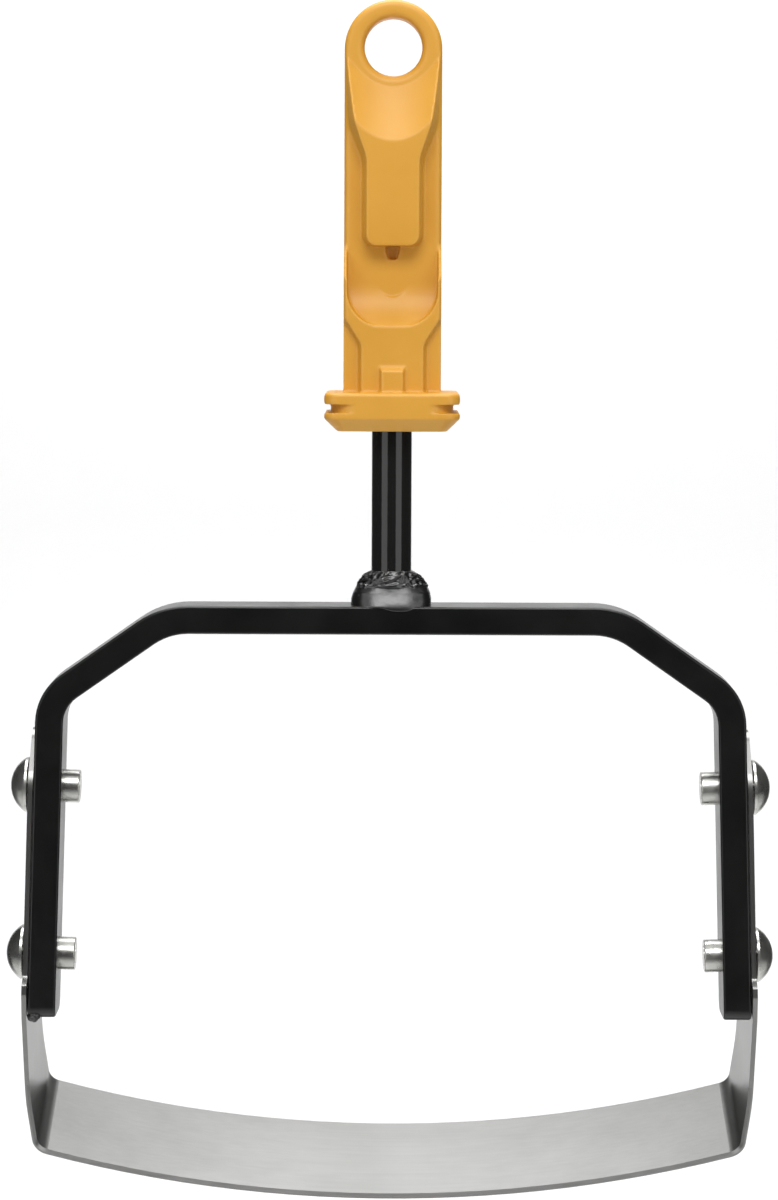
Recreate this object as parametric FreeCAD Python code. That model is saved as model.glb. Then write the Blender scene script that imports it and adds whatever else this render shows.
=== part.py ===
import FreeCAD, Part
import math
import os

os.makedirs("parts", exist_ok=True)

# Stirrup hoe head with a snap-in tool connector.  Millimetres.
# X to the right, Y to the back, Z up towards the handle.
# Origin: middle of the connector collar's top face, on the plug axis.

# ---- connector plug -------------------------------------------------------
PLUG_WIDTH = 24.0
PLUG_DEPTH = 20.0
PLUG_TOP = 96.1
WEB_DEPTH = 9.0
WEB_EDGE_R = 1.5
EYE_Z = 84.6
EYE_R = 7.1
EYE_LIP = 1.9
BLOCK_EDGE_R = 1.2
RAMP_TOP = 75.0
RAMP_LOW = 61.5
RAMP_HOLLOW_R = 25.0
SHIELD_TOP = 84.0
SHIELD_HALF = 10.4
SIDE_DRAFT = 1.1
TONGUE_WIDTH = 13.0
TONGUE_NECK_Z = 57.5
TONGUE_BOTTOM = 36.0
TONGUE_CORNER_R = 2.6
SCOOP_HALF = 11.2
SCOOP_CORNER = 9.0
SCOOP_LOW = 16.3
SCOOP_HIGH = 27.0
CATCH_NOTCH_R = 4.1
CATCH_NOTCH_LOW = 23.4
CORE_WIDTH = 4.0
CORE_HEIGHT = 3.3
CORE_DEPTH = 2.0
PANEL_WIDTH = 15.2
PANEL_SIDE_DEPTH = 2.2
PANEL_SIDE_DRAFT = 0.8
PANEL_SIDE_LOW = 12.0
PANEL_SIDE_HIGH = 18.9
PANEL_BEND_R = 4.0
BOSS_WIDTH = 5.4
BOSS_DRAFT = 0.7
BOSS_HEIGHT = 7.5
BOSS_RISE = 1.6

# ---- connector collar (one moulding with the plug) ------------------------
COLLAR_WIDTH = 33.4
COLLAR_DEPTH = 27.4
COLLAR_HEIGHT = 9.5
COLLAR_CORNER = 3.5
COLLAR_CHAMFER = 3.2
COLLAR_TOP_R = 0.9
GROOVE_TOP = 2.8
GROOVE_HEIGHT = 2.1
GROOVE_SIDE = 1.6
GROOVE_CORNER = 7.0

# ---- shank rod ------------------------------------------------------------
ROD_R = 5.0
ROD_EMBED = 12.0
ROD_KEY_DEPTH = 0.8
ROD_KEY_HEIGHT = 2.5

# ---- bracket bar ----------------------------------------------------------
BAR_THICK = 7.0
BAR_DEPTH = 14.0
BAR_EDGE_R = 0.6
CROSSBAR_TOP = -53.1
SHOULDER_X = 56.2
SHOULDER_SLOPE = 35.0
SHOULDER_BEND = 18.5
LEG_BEND = 11.5
LEG_REF_Z = -120.0
LEG_REF_X = 89.75
LEG_SPLAY = 1.8
LEG_END = -157.3
LEG_END_ROUND = 3.0

# ---- weld -----------------------------------------------------------------
WELD_RISE = 8.5
WELD_HALF_X = 10.0
WELD_HALF_Y = 7.4

# ---- pins and their collars ------------------------------------------------
PIVOT_ABOVE_TOE = 15.8
STOP_PITCH = 42.6
PIN_R = 2.5
HEAD_R = 6.9
HEAD_HEIGHT = 4.4
HEAD_RIM = 0.6
RING_R = 4.15
RING_HEIGHT = 4.2
RING_EDGE = 0.3
PIN_TAIL = 0.1
SIDE_GAP = 0.3
PIVOT_FIT = 0.08
STOP_FIT = 0.3
SWING = 8.0

# ---- blade ----------------------------------------------------------------
BLADE_THICK = 1.2
BLADE_WIDTH = 34.0
BLADE_LEAN = 19.0
BLADE_TOP_ABOVE_TOE = 7.8
BLADE_FRONT_Y = -8.0
BLADE_REACH = 61.9
BLADE_ARC_R = 300.0
BLADE_CORNER_R = 5.0
ARM_TURN_IN = 5.7
ARM_TURN_R = 90.0
EDGE_BEVEL = 0.6
EDGE_LEFT = 0.5
TAB_FRONT_Y = -5.4
TAB_BACK_Y = 11.4
TAB_TOP = 14.6
TAB_SLANT = 1.5
TAB_PEAK_Y = 3.0
ARM_JOIN = 28.0

splay = math.radians(LEG_SPLAY)
lean = math.radians(BLADE_LEAN)
turn_in = math.radians(ARM_TURN_IN)
half_bar = BAR_THICK / 2.0
WELD_TOP = CROSSBAR_TOP + WELD_RISE
PIVOT_Z = LEG_END + PIVOT_ABOVE_TOE
STOP_Z = PIVOT_Z + STOP_PITCH * math.cos(splay)
BLADE_TOP_Z = LEG_END + BLADE_TOP_ABOVE_TOE


def vec(x, y, z):
    return FreeCAD.Vector(x, y, z)


def box(x0, x1, y0, y1, z0, z1):
    return Part.makeBox(x1 - x0, y1 - y0, z1 - z0, vec(x0, y0, z0))


def prism(points, push):
    loop = [vec(*p) for p in points]
    loop.append(loop[0])
    return Part.Face(Part.makePolygon(loop)).extrude(push)


def mirrored(shape, normal):
    return shape.mirror(vec(0, 0, 0), normal)


def rounded_plan(half_x, half_y, corner, z):
    # closed wire: rectangle with round corners, level at height z
    ends = []
    for sx, sy in ((1, 1), (-1, 1), (-1, -1), (1, -1)):
        cx = sx * (half_x - corner)
        cy = sy * (half_y - corner)
        start = math.degrees(math.atan2(sy, sx)) - 45.0
        angles = [math.radians(start + step) for step in (0.0, 45.0, 90.0)]
        ends.append([vec(cx + corner * math.cos(a), cy + corner * math.sin(a), z) for a in angles])
    edges = []
    for i in range(4):
        a, m, b = ends[i]
        edges.append(Part.Arc(a, m, b).toShape())
        edges.append(Part.LineSegment(b, ends[(i + 1) % 4][0]).toShape())
    return Part.Wire(edges)


def rounded_loop(points, radii):
    # closed wire through the points, each corner rounded by its radius
    count = len(points)
    ends = []
    for i in range(count):
        here = points[i]
        if radii[i] == 0.0:
            ends.append((here, None, here))
            continue
        to_prev = (points[i - 1] - here).normalize()
        to_next = (points[(i + 1) % count] - here).normalize()
        half = to_prev.getAngle(to_next) / 2.0
        reach = radii[i] / math.tan(half)
        middle = (to_prev + to_next).normalize()
        mid = here + middle * (radii[i] / math.sin(half) - radii[i])
        ends.append((here + to_prev * reach, mid, here + to_next * reach))
    edges = []
    for i in range(count):
        a, mid, b = ends[i]
        if mid is not None:
            edges.append(Part.Arc(a, mid, b).toShape())
        edges.append(Part.LineSegment(b, ends[(i + 1) % count][0]).toShape())
    return Part.Wire(edges)


def plan_solid(half_x, half_y, corner, z0, z1):
    face = Part.Face(rounded_plan(half_x, half_y, corner, z0))
    return face.extrude(vec(0, 0, z1 - z0))


# ---- shank rod ------------------------------------------------------------
def make_rod():
    rod = Part.makeCylinder(ROD_R, ROD_EMBED - CROSSBAR_TOP, vec(0, 0, CROSSBAR_TOP))
    ring = Part.makeCylinder(ROD_R + 1.0, ROD_KEY_HEIGHT)
    ring = ring.cut(Part.makeCylinder(ROD_R - ROD_KEY_DEPTH, ROD_KEY_HEIGHT))
    for low in (ROD_EMBED - 2.0 * ROD_KEY_HEIGHT, -ROD_KEY_HEIGHT / 2.0):
        key = ring.copy()
        key.translate(vec(0, 0, low))
        rod = rod.cut(key)
    return rod


# ---- connector plug -------------------------------------------------------
def tilted_bore(radius, low, rise_y, rise_z):
    # hollow cutter whose lowest line leaves the front face at height low and
    # sinks rise_y into the plug while climbing rise_z
    run = math.hypot(rise_y, rise_z)
    up = vec(0, rise_y / run, rise_z / run)
    away = vec(0, -rise_z / run, rise_y / run)
    start = vec(0, -PLUG_DEPTH / 2.0, low) + away * radius - up * 30.0
    return Part.makeCylinder(radius, 90.0, start, up)


def drafted(points, y0, y1, grow):
    # solid between a rounded outline at depth y0 and one moved outwards at depth y1
    wires = []
    for y, extra in ((y0, 0.0), (y1, 1.0)):
        wires.append(rounded_loop([vec(x + dx * extra * grow, y, z + dz * extra * grow)
                                   for x, z, r, dx, dz in points],
                                  [r for x, z, r, dx, dz in points]))
    return Part.makeLoft(wires, True, True)


def front_relief():
    # tongue with its ramp, standing on the front of the thin web; sides slope for release
    face = -PLUG_DEPTH / 2.0
    web = -WEB_DEPTH / 2.0
    tongue = TONGUE_WIDTH / 2.0
    shield_z = (TONGUE_NECK_Z + RAMP_TOP) / 2.0
    right = [(tongue, TONGUE_BOTTOM, TONGUE_CORNER_R, 1.0, 0.0),
             (tongue, TONGUE_NECK_Z, 9.0, 1.0, -0.5),
             (SHIELD_HALF - 0.9, shield_z, 12.0, 1.6, -0.6),
             (SHIELD_HALF + 0.2, SHIELD_TOP, 0.0, 0.9, 0.0)]
    loop = right + [(-x, z, r, -dx, dz) for x, z, r, dx, dz in right[::-1]]
    relief = drafted(loop, face, web + 0.4, SIDE_DRAFT)
    return relief.cut(tilted_bore(RAMP_HOLLOW_R, RAMP_LOW, web - face, RAMP_TOP - RAMP_LOW))


def plug_block():
    # full-depth lower block with the scooped catch seat on both faces
    half = PLUG_WIDTH / 2.0
    face = -PLUG_DEPTH / 2.0
    web = -WEB_DEPTH / 2.0
    block = box(-half, half, face, -face, -1.0, TONGUE_BOTTOM)
    upright = [e for e in block.Edges if abs(e.CenterOfMass.z * 2.0 + 1.0 - TONGUE_BOTTOM) < 0.01]
    block = block.makeFillet(BLOCK_EDGE_R, upright)

    # scoop: a U-shaped window whose floor is a hollow chute leading out at the bottom
    sink = web - face
    climb = SCOOP_HIGH - SCOOP_LOW
    hollow = (sink ** 2 + climb ** 2) / (2.0 * sink)
    turn = math.asin(climb / hollow)
    middle = turn / 2.0
    centre_y = web - hollow
    profile = [Part.Arc(vec(-half - 1.0, centre_y + hollow * math.cos(turn),
                            SCOOP_HIGH - hollow * math.sin(turn)),
                        vec(-half - 1.0, centre_y + hollow * math.cos(middle),
                            SCOOP_HIGH - hollow * math.sin(middle)),
                        vec(-half - 1.0, web, SCOOP_HIGH)).toShape()]
    corners = [vec(-half - 1.0, web, SCOOP_HIGH), vec(-half - 1.0, web, TONGUE_BOTTOM + 1.0),
               vec(-half - 1.0, face - 1.0, TONGUE_BOTTOM + 1.0),
               vec(-half - 1.0, face - 1.0, SCOOP_LOW), vec(-half - 1.0, face, SCOOP_LOW)]
    for p, q in zip(corners[:-1], corners[1:]):
        profile.append(Part.LineSegment(p, q).toShape())
    chute = Part.Face(Part.Wire(profile)).extrude(vec(PLUG_WIDTH + 2.0, 0, 0))
    loop = [(SCOOP_HALF, SCOOP_LOW, SCOOP_CORNER), (SCOOP_HALF, TONGUE_BOTTOM + 2.0, 0.0),
            (-SCOOP_HALF, TONGUE_BOTTOM + 2.0, 0.0), (-SCOOP_HALF, SCOOP_LOW, SCOOP_CORNER)]
    window = rounded_loop([vec(x, face - 2.0, z) for x, z, r in loop], [r for x, z, r in loop])
    scoop = chute.common(Part.Face(window).extrude(vec(0, sink + 4.0, 0)))

    notch_z = CATCH_NOTCH_LOW + CATCH_NOTCH_R
    notch = Part.makeCylinder(CATCH_NOTCH_R, web - face + 1.0, vec(0, face - 1.0, notch_z),
                              vec(0, 1, 0))
    notch = notch.fuse(box(-CATCH_NOTCH_R, CATCH_NOTCH_R, face - 1.0, web, notch_z,
                           TONGUE_BOTTOM + 1.0))
    # little core pocket right under the tongue
    wide = CORE_WIDTH / 2.0
    core_low = TONGUE_BOTTOM - CORE_HEIGHT
    core = prism([(-wide, web - 0.5, TONGUE_BOTTOM + 0.5), (-wide * 0.55, web - 0.5, core_low),
                  (wide * 0.55, web - 0.5, core_low), (wide, web - 0.5, TONGUE_BOTTOM + 0.5)],
                 vec(0, CORE_DEPTH + 0.5, 0))
    core = core.common(box(-half, half, web - 1.0, 0.0, 0.0, TONGUE_BOTTOM))
    cuts = [scoop, notch, core]
    # the scoop's side rails slope back into the web below the tongue
    x = -half - 1.0
    cuts.append(prism([(x, face - 1.0, SCOOP_HIGH + 0.5), (x, face, SCOOP_HIGH + 0.5),
                       (x, web, TONGUE_BOTTOM - 0.6), (x, web, TONGUE_BOTTOM + 1.0),
                       (x, face - 1.0, TONGUE_BOTTOM + 1.0)], vec(PLUG_WIDTH + 2.0, 0, 0)))
    panel = PANEL_WIDTH / 2.0
    slope = (half - panel) / (PANEL_SIDE_HIGH - PANEL_SIDE_LOW)
    reach = 2.0
    side_loop = [(panel, -2.0, 0.0, 1.0, 0.0), (panel, PANEL_SIDE_LOW, PANEL_BEND_R, 1.0, -0.4),
                 (half + slope * reach, PANEL_SIDE_HIGH + reach, 0.0, 1.0, -0.4),
                 (half + slope * reach, -2.0, 0.0, 1.0, 0.0)]
    right = drafted(side_loop, face, face + PANEL_SIDE_DEPTH, PANEL_SIDE_DRAFT)
    right = right.common(box(0.0, half + 1.0, face - 1.0, -face, 0.0, TONGUE_BOTTOM))
    cuts += [right, mirrored(right, vec(1, 0, 0))]
    for cut in cuts:
        block = block.cut(cut).cut(mirrored(cut, vec(0, 1, 0)))
    return block, core


def make_plug(rod):
    half = PLUG_WIDTH / 2.0
    web = WEB_DEPTH / 2.0
    depth = PLUG_DEPTH / 2.0
    bend = PLUG_TOP - half
    edges = [Part.LineSegment(vec(-half, -web, bend), vec(-half, -web, -1.0)).toShape(),
             Part.LineSegment(vec(-half, -web, -1.0), vec(half, -web, -1.0)).toShape(),
             Part.LineSegment(vec(half, -web, -1.0), vec(half, -web, bend)).toShape(),
             Part.Arc(vec(half, -web, bend), vec(0, -web, PLUG_TOP),
                      vec(-half, -web, bend)).toShape()]
    body = Part.Face(Part.Wire(edges)).extrude(vec(0, WEB_DEPTH, 0))
    rim = [e for e in body.Edges
           if abs(abs(e.CenterOfMass.y) - web) < 0.01 and e.CenterOfMass.z > 0.0]
    body = body.makeFillet(WEB_EDGE_R, rim)

    # hanging eye with a rounded lip on both faces
    body = body.cut(Part.makeCylinder(EYE_R, WEB_DEPTH + 2.0, vec(0, -web - 1.0, EYE_Z),
                                      vec(0, 1, 0)))
    lip = [e for e in body.Edges
           if hasattr(e.Curve, "Radius") and abs(e.Curve.Radius - EYE_R) < 0.01
           and abs(abs(e.CenterOfMass.y) - web) < 0.01]
    body = body.makeFillet(EYE_LIP, lip)

    relief = front_relief()
    block, core = plug_block()
    body = body.fuse([block, relief, mirrored(relief, vec(0, 1, 0))])
    body = body.cut(core).cut(mirrored(core, vec(0, 1, 0)))

    # stop boss over the collar, sloped on top, on both faces
    wide = BOSS_WIDTH / 2.0
    ends = []
    for y, grow, low in ((-depth - BOSS_RISE, 0.0, 2.2), (-depth + 1.5, BOSS_DRAFT, 0.0)):
        x = wide + grow
        ends.append(Part.makePolygon([vec(-x, y, -0.5), vec(x, y, -0.5),
                                      vec(x, y, BOSS_HEIGHT - low), vec(-x, y, BOSS_HEIGHT - low),
                                      vec(-x, y, -0.5)]))
    boss = Part.makeLoft(ends, True, True)
    body = body.fuse(boss).fuse(mirrored(boss, vec(0, 1, 0)))

    # collar
    hx = COLLAR_WIDTH / 2.0
    hy = COLLAR_DEPTH / 2.0
    skirt = COLLAR_HEIGHT - COLLAR_CHAMFER
    collar = plan_solid(hx, hy, COLLAR_CORNER, -skirt, 0.0)
    top = [e for e in collar.Edges if abs(e.CenterOfMass.z) < 0.01]
    collar = collar.makeFillet(COLLAR_TOP_R, top)
    taper = Part.makeLoft([rounded_plan(hx, hy, COLLAR_CORNER, -skirt),
                           rounded_plan(hx - COLLAR_CHAMFER, hy - COLLAR_CHAMFER,
                                        COLLAR_CORNER - 1.5, -COLLAR_HEIGHT)], True, True)
    groove = plan_solid(hx + 2.0, hy + 2.0, COLLAR_CORNER, -GROOVE_TOP - GROOVE_HEIGHT,
                        -GROOVE_TOP)
    floor = plan_solid(hx - GROOVE_SIDE, hy, GROOVE_CORNER, -GROOVE_TOP - GROOVE_HEIGHT - 1.0,
                       -GROOVE_TOP + 1.0)
    collar = collar.fuse(taper).cut(groove.cut(floor))

    body = body.fuse(collar).cut(rod)
    return body.removeSplitter()


# ---- weld -----------------------------------------------------------------
def oval(half_x, half_y, z):
    if half_x >= half_y:
        curve = Part.Ellipse(vec(0, 0, z), half_x, half_y)
    else:
        curve = Part.Circle(vec(0, 0, z), vec(0, 0, 1), half_x)
    return Part.Wire([curve.toShape()])


def make_weld(rod):
    drop = WELD_TOP - CROSSBAR_TOP
    rings = []
    for down, grow in ((0.0, 0.06), (0.16, 0.30), (0.40, 0.66), (0.66, 0.92), (1.0, 1.0)):
        half_x = ROD_R + (WELD_HALF_X - ROD_R) * grow
        half_y = ROD_R + (WELD_HALF_Y - ROD_R) * grow - 0.02 * (1.0 - grow)
        rings.append(oval(half_x, half_y, WELD_TOP - drop * down))
    bell = Part.makeLoft(rings, True, True)
    return bell.cut(rod)


# ---- bracket --------------------------------------------------------------
def leg_point(z, out):
    # on the right leg: point at height z, `out` beyond the outer face
    return LEG_REF_X + (LEG_REF_Z - z) * math.tan(splay) + out / math.cos(splay)


BLADE_HALF = leg_point(LEG_END, SIDE_GAP + BLADE_THICK)


def fillet_path(points, radii):
    # edges of an open path in the XZ plane with rounded corners
    edges = []
    last = points[0]
    for i in range(1, len(points) - 1):
        here = points[i]
        to_prev = (points[i - 1] - here).normalize()
        to_next = (points[i + 1] - here).normalize()
        half = to_prev.getAngle(to_next) / 2.0
        reach = radii[i - 1] / math.tan(half)
        start = here + to_prev * reach
        end = here + to_next * reach
        middle = (to_prev + to_next).normalize()
        mid = here + middle * (radii[i - 1] / math.sin(half) - radii[i - 1])
        edges.append(Part.LineSegment(last, start).toShape())
        edges.append(Part.Arc(start, mid, end).toShape())
        last = end
    edges.append(Part.LineSegment(last, points[-1]).toShape())
    return edges


def bracket_side(off):
    # corner points of the bar, `off` from its middle line (outwards positive)
    slope = math.radians(SHOULDER_SLOPE)
    level = CROSSBAR_TOP - half_bar + off
    mid_level = CROSSBAR_TOP - half_bar
    # shoulder line: through (SHOULDER_X, mid_level), falling outwards
    x_a = SHOULDER_X + off * math.tan(slope / 2.0)
    run = -half_bar + off
    # leg line x = leg_point(z, run); shoulder line x = x_a + (level - z) / tan(slope)
    k = 1.0 / math.tan(slope)
    base = LEG_REF_X + LEG_REF_Z * math.tan(splay) + run / math.cos(splay)
    z_b = (x_a + level * k - base) / (k - math.tan(splay))
    x_b = leg_point(z_b, run)
    x_c = leg_point(LEG_END, run)
    right = [(x_a, level), (x_b, z_b), (x_c, LEG_END)]
    left = [(-x, z) for x, z in reversed(right)]
    return [vec(x, -BAR_DEPTH / 2.0, z) for x, z in left + right]


def make_bracket(pins):
    outer = bracket_side(half_bar)
    inner = bracket_side(-half_bar)
    big = [LEG_BEND + half_bar, SHOULDER_BEND + half_bar]
    small = [LEG_BEND - half_bar, SHOULDER_BEND - half_bar]
    edges = fillet_path(outer, big + big[::-1])
    edges.append(Part.LineSegment(outer[-1], inner[-1]).toShape())
    edges += fillet_path(inner, small + small[::-1])
    edges.append(Part.LineSegment(inner[0], outer[0]).toShape())
    wire = Part.Wire(Part.__sortEdges__(edges))
    bar = Part.Face(wire).extrude(vec(0, BAR_DEPTH, 0))
    toes = [e for e in bar.Edges
            if abs(e.CenterOfMass.z - LEG_END) < 0.5
            and abs(abs(e.CenterOfMass.y) - BAR_DEPTH / 2.0) < 0.01]
    bar = bar.makeFillet(LEG_END_ROUND, toes)
    rims = [e for e in bar.Edges
            if abs(abs(e.CenterOfMass.y) - BAR_DEPTH / 2.0) < 0.01]
    bar = bar.makeFillet(BAR_EDGE_R, rims)
    for pin in pins:
        bar = bar.cut(pin)
    return bar


# ---- pins -----------------------------------------------------------------
# local frame: origin at the middle of the blade tab's thickness, +X outwards
def seat(shape, height, side):
    placed = shape.copy()
    placed.rotate(vec(0, 0, 0), vec(0, 1, 0), -LEG_SPLAY)
    placed.translate(vec(leg_point(height, SIDE_GAP + BLADE_THICK / 2.0), 0, height))
    if side < 0:
        placed = mirrored(placed, vec(1, 0, 0))
    return placed


head_face = BLADE_THICK / 2.0 + SIDE_GAP
leg_outer = -BLADE_THICK / 2.0 - SIDE_GAP
leg_inner = leg_outer - BAR_THICK
pin_end = leg_inner - RING_HEIGHT - PIN_TAIL


def make_pin():
    shank = Part.makeCylinder(PIN_R, head_face - pin_end, vec(pin_end, 0, 0), vec(1, 0, 0))
    rise = HEAD_HEIGHT - HEAD_RIM
    ball = (HEAD_R ** 2 + rise ** 2) / (2.0 * rise)
    rim = Part.makeCylinder(HEAD_R, HEAD_RIM, vec(head_face, 0, 0), vec(1, 0, 0))
    dome = Part.makeSphere(ball, vec(head_face + HEAD_HEIGHT - ball, 0, 0))
    keep = Part.makeCylinder(HEAD_R, rise + 1.0, vec(head_face + HEAD_RIM, 0, 0), vec(1, 0, 0))
    return shank.fuse(rim).fuse(dome.common(keep)).removeSplitter()


def make_ring():
    ring = Part.makeCylinder(RING_R, RING_HEIGHT, vec(leg_inner - RING_HEIGHT, 0, 0),
                             vec(1, 0, 0))
    free = [e for e in ring.Edges
            if abs(e.CenterOfMass.x - leg_inner + RING_HEIGHT) < 0.01]
    ring = ring.makeFillet(RING_EDGE, free)
    bore = Part.makeCylinder(PIN_R, RING_HEIGHT + 2.0, vec(leg_inner - RING_HEIGHT - 1.0, 0, 0),
                             vec(1, 0, 0))
    return ring.cut(bore)


# ---- blade ----------------------------------------------------------------
ALONG = vec(0, math.sin(lean), -math.cos(lean))
ACROSS = vec(0, math.cos(lean), math.sin(lean))
CORNER = vec(0, BLADE_FRONT_Y, BLADE_TOP_Z)


def hoop_point(x, s):
    return CORNER + vec(x, 0, 0) + ALONG * s


def hoop_path(inset):
    # open path of the hoop `inset` inside its outer face: upright at the join, turned in
    # a little, a tight corner, the long bowed floor, and the same back up
    x_arm = BLADE_HALF - inset
    slow = ARM_TURN_R - inset
    arc = BLADE_ARC_R - inset
    turn = BLADE_CORNER_R - inset
    centre = BLADE_REACH - BLADE_ARC_R
    sa, ca = math.sin(turn_in), math.cos(turn_in)
    sh, ch = math.sin(turn_in / 2.0), math.cos(turn_in / 2.0)
    slow_x = x_arm - slow
    # corner centre: on the line parallel to the turned-in arm, tangent to the floor arc
    px = slow_x + (slow - turn) * ca
    ps = ARM_JOIN + (slow - turn) * sa - centre
    b = ps * ca - px * sa
    run = math.sqrt(b * b - px * px - ps * ps + (arc - turn) ** 2) - b
    cx = px - run * sa
    cs = ps + run * ca + centre
    angle = math.atan2(cx, cs - centre)
    mid = (angle + math.pi / 2.0 - turn_in) / 2.0
    half = [(x_arm, ARM_JOIN), (slow_x + slow * ch, ARM_JOIN + slow * sh),
            (slow_x + slow * ca, ARM_JOIN + slow * sa),
            (cx + turn * ca, cs + turn * sa),
            (cx + turn * math.sin(mid), cs + turn * math.cos(mid)),
            (arc * math.sin(angle), centre + arc * math.cos(angle))]
    return ([hoop_point(-x, s) for x, s in half] + [hoop_point(0, centre + arc)]
            + [hoop_point(x, s) for x, s in half[::-1]])


def hoop_edges(p):
    arcs = [(0, 1, 2), (3, 4, 5), (5, 6, 7), (7, 8, 9), (10, 11, 12)]
    lines = [(2, 3), (9, 10)]
    edges = [Part.Arc(p[i], p[j], p[k]).toShape() for i, j, k in arcs]
    edges += [Part.LineSegment(p[i], p[j]).toShape() for i, j in lines]
    order = [0, 5, 1, 2, 3, 6, 4]
    return [edges[i] for i in order]


def hoop_wire(thick, across):
    a = hoop_path(0.0)
    b = hoop_path(thick)
    edges = hoop_edges(a)
    edges.append(Part.LineSegment(a[-1], b[-1]).toShape())
    edges += hoop_edges(b)[::-1]
    edges.append(Part.LineSegment(b[0], a[0]).toShape())
    wire = Part.Wire(Part.__sortEdges__(edges))
    wire.translate(ACROSS * across)
    return wire


def arm_outline():
    # side view of one arm: rounded tab at the top, wide strip below
    foot = CORNER + ALONG * ARM_JOIN
    back = foot + ACROSS * BLADE_WIDTH
    heel = back - ALONG * 14.0
    top = STOP_Z + TAB_TOP
    loop = [(foot.y, foot.z, 0.0), (back.y, back.z, 0.0), (heel.y, heel.z, 4.0),
            (TAB_BACK_Y, heel.z + 15.0, 10.0), (TAB_BACK_Y, top - 2.0, 5.0),
            (TAB_PEAK_Y, top, 5.0), (TAB_FRONT_Y, STOP_Z + TAB_SLANT, 10.0),
            (TAB_FRONT_Y, BLADE_TOP_Z + 2.6, 1.5), (BLADE_FRONT_Y, BLADE_TOP_Z + 1.0, 0.8),
            (CORNER.y, CORNER.z - 1.5, 1.0)]
    return rounded_loop([vec(BLADE_HALF - 12.0, y, z) for y, z, r in loop], [r for y, z, r in loop])


def make_arm():
    slab = Part.Face(arm_outline()).extrude(vec(20, 0, 0))
    # front view: along the leg down to its toe, then upright
    top_z = STOP_Z + TAB_TOP + 10.0
    low_z = BLADE_TOP_Z - 2.0 * ARM_JOIN
    x_top = leg_point(top_z, SIDE_GAP + BLADE_THICK)
    t_top = BLADE_THICK / math.cos(splay)
    inside = BLADE_HALF - BLADE_THICK
    sheet = prism([(x_top, -40, top_z), (BLADE_HALF, -40, LEG_END), (BLADE_HALF, -40, low_z),
                   (inside, -40, low_z), (inside, -40, LEG_END), (x_top - t_top, -40, top_z)],
                  vec(0, 100, 0))
    return slab.common(sheet)


def tab_holes():
    # pivot hole and the arc slot for the stop pin, in the pin's local frame
    hole = Part.makeCylinder(PIN_R + PIVOT_FIT, 6.0, vec(-3, 0, 0), vec(1, 0, 0))
    wide = PIN_R + STOP_FIT
    band = Part.makeCylinder(STOP_PITCH + wide, 6.0, vec(-3, 0, 0), vec(1, 0, 0))
    band = band.cut(Part.makeCylinder(STOP_PITCH - wide, 6.0, vec(-3, 0, 0), vec(1, 0, 0)))
    swing = math.radians(SWING)
    far = 2.0 * STOP_PITCH
    sector = prism([(-3, 0, 0), (-3, 0, far),
                    (-3, far * math.tan(swing / 2.0), far),
                    (-3, far * math.sin(swing), far * math.cos(swing))], vec(6, 0, 0))
    slot = band.common(sector)
    for angle in (0.0, swing):
        end = Part.makeCylinder(wide, 6.0, vec(-3, STOP_PITCH * math.sin(angle),
                                               STOP_PITCH * math.cos(angle)), vec(1, 0, 0))
        slot = slot.fuse(end)
    return [hole, slot.removeSplitter()]


def make_blade():
    wires = [hoop_wire(EDGE_LEFT, 0.0), hoop_wire(BLADE_THICK, EDGE_BEVEL),
             hoop_wire(BLADE_THICK, BLADE_WIDTH - EDGE_BEVEL),
             hoop_wire(EDGE_LEFT, BLADE_WIDTH)]
    front = Part.makeLoft(wires[0:2], True, True)
    middle = Part.Face(wires[1]).extrude(ACROSS * (BLADE_WIDTH - 2.0 * EDGE_BEVEL))
    rear = Part.makeLoft(wires[2:4], True, True)
    blade = middle.fuse([front, rear])
    right = make_arm()
    for hole in tab_holes():
        right = right.cut(seat(hole, PIVOT_Z, 1))
    left = mirrored(right, vec(1, 0, 0))
    return blade.fuse([right, left]).removeSplitter()


# ---- assembly -------------------------------------------------------------
shank_rod = make_rod()
nodes = {"shank_rod": shank_rod, "connector_plug": make_plug(shank_rod),
         "weld_bead": make_weld(shank_rod), "stirrup_blade": make_blade()}
shanks = []
for name, height in (("pivot", PIVOT_Z), ("stop", STOP_Z)):
    for hand, side in (("left", -1), ("right", 1)):
        rivet = seat(make_pin(), height, side)
        nodes[name + "_rivet_" + hand] = rivet
        nodes[name + "_collar_" + hand] = seat(make_ring(), height, side)
        shanks.append(rivet)
nodes["bracket"] = make_bracket(shanks)

for node_name, shape in nodes.items():
    shape.exportStep("parts/" + node_name + ".step")
    print(node_name, shape.isValid(), len(shape.Solids), round(shape.Volume, 1),
          [round(v, 2) for v in (shape.BoundBox.XMin, shape.BoundBox.XMax, shape.BoundBox.YMin,
                                 shape.BoundBox.YMax, shape.BoundBox.ZMin, shape.BoundBox.ZMax)])
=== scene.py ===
import math

import bmesh
import bpy
from mathutils import Matrix, Vector, noise


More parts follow.
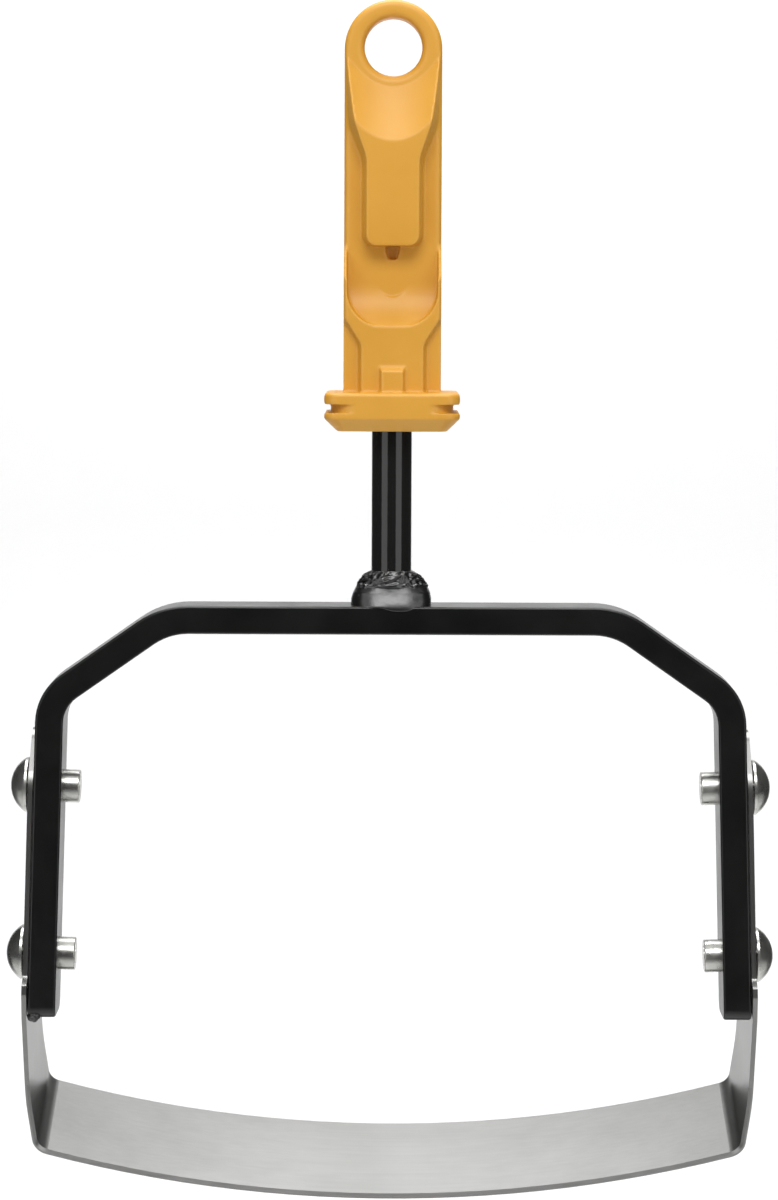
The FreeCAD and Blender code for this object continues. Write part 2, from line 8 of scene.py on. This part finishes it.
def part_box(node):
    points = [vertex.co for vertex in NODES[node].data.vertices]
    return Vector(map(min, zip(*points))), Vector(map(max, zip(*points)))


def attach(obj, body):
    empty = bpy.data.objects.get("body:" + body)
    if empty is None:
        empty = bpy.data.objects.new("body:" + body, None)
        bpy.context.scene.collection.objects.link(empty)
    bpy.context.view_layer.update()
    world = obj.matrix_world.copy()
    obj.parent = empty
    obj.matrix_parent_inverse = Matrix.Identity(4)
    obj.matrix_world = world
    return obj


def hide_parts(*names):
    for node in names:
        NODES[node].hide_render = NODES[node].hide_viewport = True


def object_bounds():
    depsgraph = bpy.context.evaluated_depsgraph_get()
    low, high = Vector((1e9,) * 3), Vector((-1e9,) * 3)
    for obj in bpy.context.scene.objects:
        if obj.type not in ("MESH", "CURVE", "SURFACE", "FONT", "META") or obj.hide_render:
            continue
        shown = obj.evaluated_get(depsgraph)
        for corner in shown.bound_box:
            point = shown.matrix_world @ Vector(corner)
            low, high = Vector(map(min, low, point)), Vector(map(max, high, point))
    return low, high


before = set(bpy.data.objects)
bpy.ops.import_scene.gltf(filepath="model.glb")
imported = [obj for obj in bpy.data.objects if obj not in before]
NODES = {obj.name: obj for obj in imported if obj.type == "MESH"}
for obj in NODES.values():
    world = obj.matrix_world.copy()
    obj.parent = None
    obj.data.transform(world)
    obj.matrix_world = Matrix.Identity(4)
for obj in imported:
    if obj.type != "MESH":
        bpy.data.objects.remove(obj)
CAD_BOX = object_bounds()
MM = 0.001


# ---------------------------------------------------------------- shader helpers
def new_material(name):
    mat = bpy.data.materials.new(name)
    mat.use_nodes = True
    tree = mat.node_tree
    tree.nodes.clear()
    out = tree.nodes.new("ShaderNodeOutputMaterial")
    shader = tree.nodes.new("ShaderNodeBsdfPrincipled")
    tree.links.new(shader.outputs["BSDF"], out.inputs["Surface"])
    return mat, tree, shader


def place(tree, scale=(1, 1, 1)):
    """Object coordinates in the frame's metres, stretched by scale."""
    coord = tree.nodes.new("ShaderNodeTexCoord")
    mapping = tree.nodes.new("ShaderNodeMapping")
    mapping.inputs["Scale"].default_value = scale
    tree.links.new(coord.outputs["Object"], mapping.inputs["Vector"])
    return mapping.outputs["Vector"]


def speckle(tree, vector, scale, detail=4.0, rough=0.55):
    """Noise with about scale spots to the metre."""
    tex = tree.nodes.new("ShaderNodeTexNoise")
    tex.inputs["Scale"].default_value = scale
    tex.inputs["Detail"].default_value = detail
    tex.inputs["Roughness"].default_value = rough
    tree.links.new(vector, tex.inputs["Vector"])
    return tex.outputs["Fac"]


def ramp(tree, fac, stops):
    """Colour band from (position, RGB) stops."""
    node = tree.nodes.new("ShaderNodeValToRGB")
    band = node.color_ramp
    while len(band.elements) < len(stops):
        band.elements.new(0.5)
    for item, (at, colour) in zip(band.elements, stops):
        item.position = at
        item.color = (*colour, 1.0)
    tree.links.new(fac, node.inputs["Fac"])
    return node.outputs["Color"]


def span(tree, value, low, high, a, b):
    """low..high mapped to a..b, clamped."""
    node = tree.nodes.new("ShaderNodeMapRange")
    node.inputs["From Min"].default_value = low
    node.inputs["From Max"].default_value = high
    node.inputs["To Min"].default_value = a
    node.inputs["To Max"].default_value = b
    tree.links.new(value, node.inputs["Value"])
    return node.outputs["Result"]


def mix(tree, fac, a, b, mode="MIX"):
    """Colour mix; each of fac, a and b is a socket or a plain value."""
    node = tree.nodes.new("ShaderNodeMix")
    node.data_type = "RGBA"
    node.blend_type = mode
    for socket, value in ((node.inputs[0], fac), (node.inputs[6], a), (node.inputs[7], b)):
        if isinstance(value, bpy.types.NodeSocket):
            tree.links.new(value, socket)
        elif socket.type == "RGBA":
            socket.default_value = (*value, 1.0)
        else:
            socket.default_value = value
    return node.outputs[2]


def bump(tree, shader, height, strength, distance, under=None):
    """Bump on the shader's normal, over an earlier bump where one is given."""
    node = tree.nodes.new("ShaderNodeBump")
    node.inputs["Strength"].default_value = strength
    node.inputs["Distance"].default_value = distance
    tree.links.new(height, node.inputs["Height"])
    if under is not None:
        tree.links.new(under, node.inputs["Normal"])
    tree.links.new(node.outputs["Normal"], shader.inputs["Normal"])
    return node.outputs["Normal"]


def outside_edges(tree):
    """0 on flats, rising to 1 on outside edges."""
    geo = tree.nodes.new("ShaderNodeNewGeometry")
    return span(tree, geo.outputs["Pointiness"], 0.51, 0.58, 0.0, 1.0)


# ---------------------------------------------------------------- materials
def plastic():
    """Moulded orange plastic, paler along its edges."""
    mat, tree, shader = new_material("orange_plastic")
    vec = place(tree)
    cloud = speckle(tree, vec, 38.0, 3.0)
    base = ramp(tree, cloud, [(0.30, (0.640, 0.305, 0.028)), (0.72, (0.700, 0.350, 0.042))])
    pale_edge = mix(tree, outside_edges(tree), base, (0.78, 0.44, 0.09))
    tree.links.new(mix(tree, 0.35, base, pale_edge), shader.inputs["Base Color"])
    fine = speckle(tree, vec, 2600.0, 2.0)
    tree.links.new(span(tree, fine, 0.3, 0.7, 0.40, 0.50), shader.inputs["Roughness"])
    first = bump(tree, shader, fine, 0.10, 0.00004)
    bump(tree, shader, speckle(tree, vec, 300.0, 2.0), 0.05, 0.0002, first)
    shader.inputs["Subsurface Weight"].default_value = 0.08
    shader.inputs["Subsurface Radius"].default_value = (0.004, 0.002, 0.0008)
    shader.inputs["Subsurface Scale"].default_value = 0.5
    shader.inputs["IOR"].default_value = 1.49
    return mat


def paint(name, orange_peel=1.0, edge_highlight_amount=0.5, gloss=0.27, shine=0.45):
    """Black paint, with a painted edge highlight of grey along its outside edges; gloss is its
    lowest roughness.
    """
    mat, tree, shader = new_material(name)
    vec = place(tree)
    cloud = speckle(tree, vec, 60.0, 5.0)
    base = ramp(tree, cloud,
                [(0.35, (0.0010, 0.0010, 0.0010)), (0.70, (0.0022, 0.0022, 0.0021))])
    # painted highlight: light grey mixed into the black along outside edges, standing in for light
    # caught on their rounding
    edge_highlight_grey = mix(tree, outside_edges(tree), base, (0.090, 0.090, 0.088))
    tree.links.new(mix(tree, edge_highlight_amount, base, edge_highlight_grey), shader.inputs["Base Color"])
    peel = speckle(tree, vec, 420.0, 2.0)
    dust = speckle(tree, vec, 1500.0, 3.0)
    tree.links.new(span(tree, cloud, 0.3, 0.7, gloss, gloss + 0.08), shader.inputs["Roughness"])
    first = bump(tree, shader, dust, 0.05, 0.00003)
    bump(tree, shader, peel, 0.12 * orange_peel, 0.00035, first)
    shader.inputs["Specular IOR Level"].default_value = shine
    return mat


def strip_steel():
    """Rolled strip: its grain runs across X on the floor and down the arms."""
    along, across = 14.0, 1100.0
    arm_from, arm_to = 0.084, 0.089
    mat, tree, shader = new_material("blade_steel")
    grain = speckle(tree, place(tree, (along, across, across)), 1.0, 4.0, 0.6)
    arms = speckle(tree, place(tree, (across, across, along)), 1.0, 4.0, 0.6)
    sep = tree.nodes.new("ShaderNodeSeparateXYZ")
    tree.links.new(place(tree), sep.inputs["Vector"])
    side = tree.nodes.new("ShaderNodeMath")
    side.operation = "ABSOLUTE"
    tree.links.new(sep.outputs["X"], side.inputs[0])
    on_arm = span(tree, side.outputs[0], arm_from, arm_to, 0.0, 1.0)
    lines = mix(tree, on_arm, grain, arms)
    cloud = speckle(tree, place(tree), 32.0, 4.0)
    base = ramp(tree, lines, [(0.25, (0.250, 0.250, 0.246)), (0.75, (0.275, 0.275, 0.270))])
    stain = ramp(tree, cloud, [(0.35, (0.90, 0.90, 0.89)), (0.65, (1.0, 1.0, 1.0))])
    tree.links.new(mix(tree, 1.0, base, stain, "MULTIPLY"), shader.inputs["Base Color"])
    shader.inputs["Metallic"].default_value = 1.0
    tree.links.new(span(tree, lines, 0.2, 0.8, 0.28, 0.34), shader.inputs["Roughness"])
    bump(tree, shader, lines, 0.03, 0.00002)
    return mat


def bright_pin():
    """Bright plated steel with the small dents of cold heading."""
    mat, tree, shader = new_material("pin_steel")
    vec = place(tree)
    cloud = speckle(tree, vec, 160.0, 4.0)
    base = ramp(tree, cloud, [(0.32, (0.44, 0.44, 0.415)), (0.70, (0.63, 0.63, 0.60))])
    tree.links.new(base, shader.inputs["Base Color"])
    shader.inputs["Metallic"].default_value = 1.0
    tree.links.new(span(tree, cloud, 0.3, 0.7, 0.22, 0.34), shader.inputs["Roughness"])
    bump(tree, shader, speckle(tree, vec, 330.0, 3.0), 0.20, 0.0004)
    return mat


BLACK = paint("black_paint")
BEAD = paint("weld_paint", orange_peel=1.4, edge_highlight_amount=0.35, gloss=0.26, shine=0.95)
PIN = bright_pin()
OWN_FINISH = {
    "connector_plug": plastic(),
    "stirrup_blade": strip_steel(),
    "shank_rod": paint("rod_paint", orange_peel=0.35, edge_highlight_amount=0.1, gloss=0.06),
}


def wear(obj, mat):
    """Give every slot of a CAD node one material."""
    if obj.data.materials:
        for i in range(len(obj.data.materials)):
            obj.data.materials[i] = mat
    else:
        obj.data.materials.append(mat)


for node_name, node in NODES.items():
    is_pin = "rivet" in node_name or "collar" in node_name
    wear(node, OWN_FINISH.get(node_name, PIN if is_pin else BLACK))


# ---------------------------------------------------------------- moulded plug
def soften(node, voxel, rounds):
    """Round the moulding's small edges, as a fine skin smoothed a few times."""
    shell = node.modifiers.new("fine skin", "REMESH")
    shell.mode = "VOXEL"
    shell.voxel_size = voxel
    shell.use_smooth_shade = True
    smooth = node.modifiers.new("rounded edges", "SMOOTH")
    smooth.factor = 0.5
    smooth.iterations = rounds


soften(NODES["connector_plug"], 0.35 * MM, 3)


# ---------------------------------------------------------------- weld and paint
def link_mesh(name, bm, mat):
    """Smooth-shaded object from a bmesh, linked to the scene."""
    mesh = bpy.data.meshes.new(name)
    bm.to_mesh(mesh)
    bm.free()
    for face in mesh.polygons:
        face.use_smooth = True
    mesh.materials.append(mat)
    obj = bpy.data.objects.new(name, mesh)
    bpy.context.scene.collection.objects.link(obj)
    return obj


def tube_mesh(name, rings, mat, body, replaced=None):
    """Closed skin over rings of points, capped at both ends."""
    bm = bmesh.new()
    loops = [[bm.verts.new(p) for p in ring] for ring in rings]
    count = len(loops[0])
    for a, b in zip(loops[:-1], loops[1:]):
        for i in range(count):
            j = (i + 1) % count
            bm.faces.new((a[i], a[j], b[j], b[i]))
    for ring in (loops[0], loops[-1]):
        middle = bm.verts.new(sum((v.co for v in ring), Vector()) / count)
        for i in range(count):
            bm.faces.new((ring[i], ring[(i + 1) % count], middle))
    bmesh.ops.recalc_face_normals(bm, faces=bm.faces)
    obj = link_mesh(name, bm, mat)
    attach(obj, body)
    if replaced:
        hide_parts(replaced)
    return obj


def clamp(value):
    return max(0.0, min(1.0, value))


def along_curve(points, t):
    """Straight-line reading of (t, value) points."""
    for (t0, v0), (t1, v1) in zip(points[:-1], points[1:]):
        if t0 <= t <= t1:
            return v0 + (v1 - v0) * (t - t0) / (t1 - t0)


# how far the bead has spread to its full width, from the rod (0) down to the bar (1)
BEAD_SPREAD = [(0.0, -0.02), (0.04, 0.10), (0.16, 0.42), (0.30, 0.60), (0.45, 0.76),
               (0.62, 0.90), (0.80, 0.98), (1.0, 1.0)]
BEAD_COUNT, BEAD_ROWS = 180, 64
SEAM = 0.47                    # the height of the upper pass's ragged lower edge
SAG_FROM = 0.6                 # the sag over the bar starts here
SAG_X, SAG_HALF = 2.0 * MM, 3.4 * MM
SAG_DROP, SAG_BULGE = 0.85 * MM, 0.35 * MM


def bead_push(t, ca, sa):
    """The bead's roughness in mm, outwards: wrinkled above the seam, lumpy below."""
    around = Vector((ca * 2.4, sa * 2.4, 3.0))
    seam = SEAM + 0.11 * noise.noise(around) + 0.05 * noise.noise(around * 3.1)
    upper = clamp((seam - t) / 0.05)
    fade = min(1.0, t / 0.10) * min(1.0, (1.0 - t) / 0.05 + 0.3)
    crease = abs(noise.noise(Vector((ca * 4.6 + t * 6.0, sa * 4.6, t * 8.0))))
    fine = noise.noise(Vector((ca * 11.0, sa * 11.0 + t * 4.0, t * 16.0)))
    lump = noise.noise(Vector((ca * 1.6, sa * 1.6, t * 1.7 + 8.0)))
    return (upper * (0.42 - 1.0 * crease + 0.10 * fine) + 0.30 * lump) * fade


def weld():
    """Fillet weld: a wrinkled upper pass over a smooth, full lower pass that sags over the bar."""
    low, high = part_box("weld_bead")
    half_x = (high[0] - low[0]) / 2.0
    half_y = (high[1] - low[1]) / 2.0
    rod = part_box("shank_rod")
    rod_r = (rod[1][0] - rod[0][0]) / 2.0
    top, foot = high[2] + 0.2 * MM, low[2] - 0.25 * MM
    rings = []
    for j in range(BEAD_ROWS + 1):
        t = j / BEAD_ROWS
        z = top + (foot - top) * t
        spread = along_curve(BEAD_SPREAD, t)
        # the front leans back evenly and squares up towards the bar
        lean = max(0.55 * t ** 0.75, 0.25 + 0.75 * (t - 0.42) / 0.58)
        square = 2.0 / (2.0 + clamp((t - 0.35) / 0.25))
        ring = []
        for i in range(BEAD_COUNT):
            a = 2.0 * math.pi * i / BEAD_COUNT
            ca, sa = math.cos(a), math.sin(a)
            push = bead_push(t, ca, sa)
            rx = rod_r + (half_x - rod_r) * spread + push * MM
            ry = rod_r + (half_y - rod_r) * lean + push * 0.7 * MM
            x = rx * math.copysign(abs(ca) ** square, ca)
            y, dz = ry * math.copysign(abs(sa) ** square, sa), 0.0
            if sa < 0.0 and t > SAG_FROM:
                run = (t - SAG_FROM) / (1.0 - SAG_FROM)
                sag = math.exp(-((x - SAG_X) / SAG_HALF) ** 4) * run * run
                dz = -SAG_DROP * sag
                y -= SAG_BULGE * sag * (1.0 - run) * 4.0 * run
            ring.append(Vector((x, y, z + dz)))
        rings.append(ring)
    return tube_mesh("weld_bead_run", rings, BEAD, "head", "weld_bead")


weld()

BURR_COUNT, BURR_ROWS = 40, 24
BURR_INSET = Vector((1.55, 1.35, 0.35)) * MM     # its centre, from the bracket's low corner
BURR_SIZE = Vector((1.55, 1.25, 1.35)) * MM


def burr():
    """Thick paint hanging on the left leg's toe."""
    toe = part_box("bracket")[0]
    centre = Vector(toe) + BURR_INSET
    rings = []
    for j in range(1, BURR_ROWS):
        polar = math.pi * j / BURR_ROWS
        ring = []
        for i in range(BURR_COUNT):
            a = 2.0 * math.pi * i / BURR_COUNT
            out = Vector((math.sin(polar) * math.cos(a), math.sin(polar) * math.sin(a),
                          math.cos(polar)))
            grow = 1.0 + 0.28 * noise.noise(out * 1.9 + Vector((4.0, 1.0, 0.0)))
            grow += 0.10 * noise.noise(out * 4.5)
            ring.append(centre + Vector((out[k] * BURR_SIZE[k] * grow for k in range(3))))
        rings.append(ring)
    return tube_mesh("toe_paint_burr", rings, BEAD, "head")


burr()


# ---------------------------------------------------------------- floor and backdrop
def sheet(name, rows, mat, left, right, mirrored=True):
    """Strip of paper through (y, z) rows; mirrored ones show in reflections."""
    bm = bmesh.new()
    last = None
    for y, z in rows:
        pair = (bm.verts.new((left, y, z)), bm.verts.new((right, y, z)))
        if last:
            bm.faces.new((last[0], last[1], pair[1], pair[0]))
        last = pair
    obj = link_mesh(name, bm, mat)
    obj.visible_glossy = mirrored


def paper(name, tone=1.0):
    mat, tree, shader = new_material(name)
    fibre = speckle(tree, place(tree), 900.0, 3.0)
    dim, pale = 0.96 * tone, 0.98 * tone
    tree.links.new(ramp(tree, fibre, [(0.3, (dim, dim, dim)), (0.7, (pale, pale, pale))]),
                   shader.inputs["Base Color"])
    shader.inputs["Roughness"].default_value = 0.9
    shader.inputs["Specular IOR Level"].default_value = 0.1
    return mat


PAPER = paper("white_paper")
LOW = CAD_BOX[0][2] - 0.956    # the floor, well below the head
FLOOR_NEAR = -3.2
SWEEP_FROM, SWEEP_R = 1.0, 1.0
WALL_Y = SWEEP_FROM + SWEEP_R
CARD_LOW, CARD_HIGH = 0.7, LOW + 4.4
MIDDLE_HALF, OUTER_HALF = 1.0, 4.4
CURVE = [(SWEEP_FROM + SWEEP_R * math.sin(math.radians(d)),
          LOW + SWEEP_R * (1.0 - math.cos(math.radians(d))))
         for d in range(0, 91, 6)]
WALL = CURVE + [(WALL_Y, CARD_LOW)]
sheet("floor", [(FLOOR_NEAR, LOW), CURVE[0]], PAPER, -OUTER_HALF, OUTER_HALF)
sheet("back_wall", WALL, PAPER, -MIDDLE_HALF, MIDDLE_HALF)
sheet("left_wall", WALL, PAPER, -OUTER_HALF, -MIDDLE_HALF, False)
sheet("right_wall", WALL, PAPER, MIDDLE_HALF, OUTER_HALF, False)
# the blade mirrors this part of the wall, above the picture
sheet("grey_card", [(WALL_Y, CARD_LOW), (WALL_Y, CARD_HIGH)], paper("grey_card", 0.24),
      -MIDDLE_HALF, MIDDLE_HALF)


# ---------------------------------------------------------------- light
def lamp(name, place_at, aim, size, power, size_y=None):
    """Area lamp at a point, facing aim; a size_y makes it a rectangle."""
    data = bpy.data.lights.new(name, "AREA")
    data.energy = power
    data.size = size
    if size_y:
        data.shape = "RECTANGLE"
        data.size_y = size_y
    obj = bpy.data.objects.new(name, data)
    bpy.context.scene.collection.objects.link(obj)
    obj.location = place_at
    obj.rotation_euler = (Vector(aim) - Vector(place_at)).to_track_quat("-Z", "Y").to_euler()


MID = (0.0, 0.0, -0.055)
for lamp_name, side in (("soft_left", -1.0), ("soft_right", 1.0)):
    lamp(lamp_name, (side * 0.78, -0.88, 0.10), MID, 0.75, 4.3, 1.1)
lamp("key", (0.0, -0.85, 0.76), MID, 0.7, 8.0, 0.45)
lamp("overhead", (0.0, -0.15, 1.3), MID, 0.9, 3.0)
lamp("paper_light", (0.0, 0.9, 2.45), (0.0, 1.96, 0.05), 2.4, 114.0)

world = bpy.data.worlds.new("studio")
bpy.context.scene.world = world
world.use_nodes = True
surround = world.node_tree.nodes["Background"]
surround.inputs["Color"].default_value = (1.0, 1.0, 1.0, 1.0)
surround.inputs["Strength"].default_value = 0.06
bpy.context.scene.view_settings.view_transform = "Standard"

# ---------------------------------------------------------------- camera
CAMERA_LENS = 102.0
CAMERA_REACH = 0.850
CAMERA_TILT = math.radians(5.2)
CAMERA_ROLL = math.radians(0.24)
CAMERA_TARGET = Vector((-0.00055, 0.0, -0.052))


def camera():
    """Looking a little down on the head, square to its front."""
    data = bpy.data.cameras.new("camera")
    obj = bpy.data.objects.new("camera", data)
    bpy.context.scene.collection.objects.link(obj)
    data.sensor_fit = "AUTO"
    data.sensor_width = 36.0
    data.lens = CAMERA_LENS
    data.clip_start = 0.02
    data.clip_end = 20.0
    back = Vector((0.0, -math.cos(CAMERA_TILT), math.sin(CAMERA_TILT)))
    obj.location = CAMERA_TARGET + back * CAMERA_REACH
    turn = (-back).to_track_quat("-Z", "Y").to_matrix()
    obj.rotation_euler = (turn @ Matrix.Rotation(CAMERA_ROLL, 3, "Z")).to_euler()
    bpy.context.scene.camera = obj


camera()
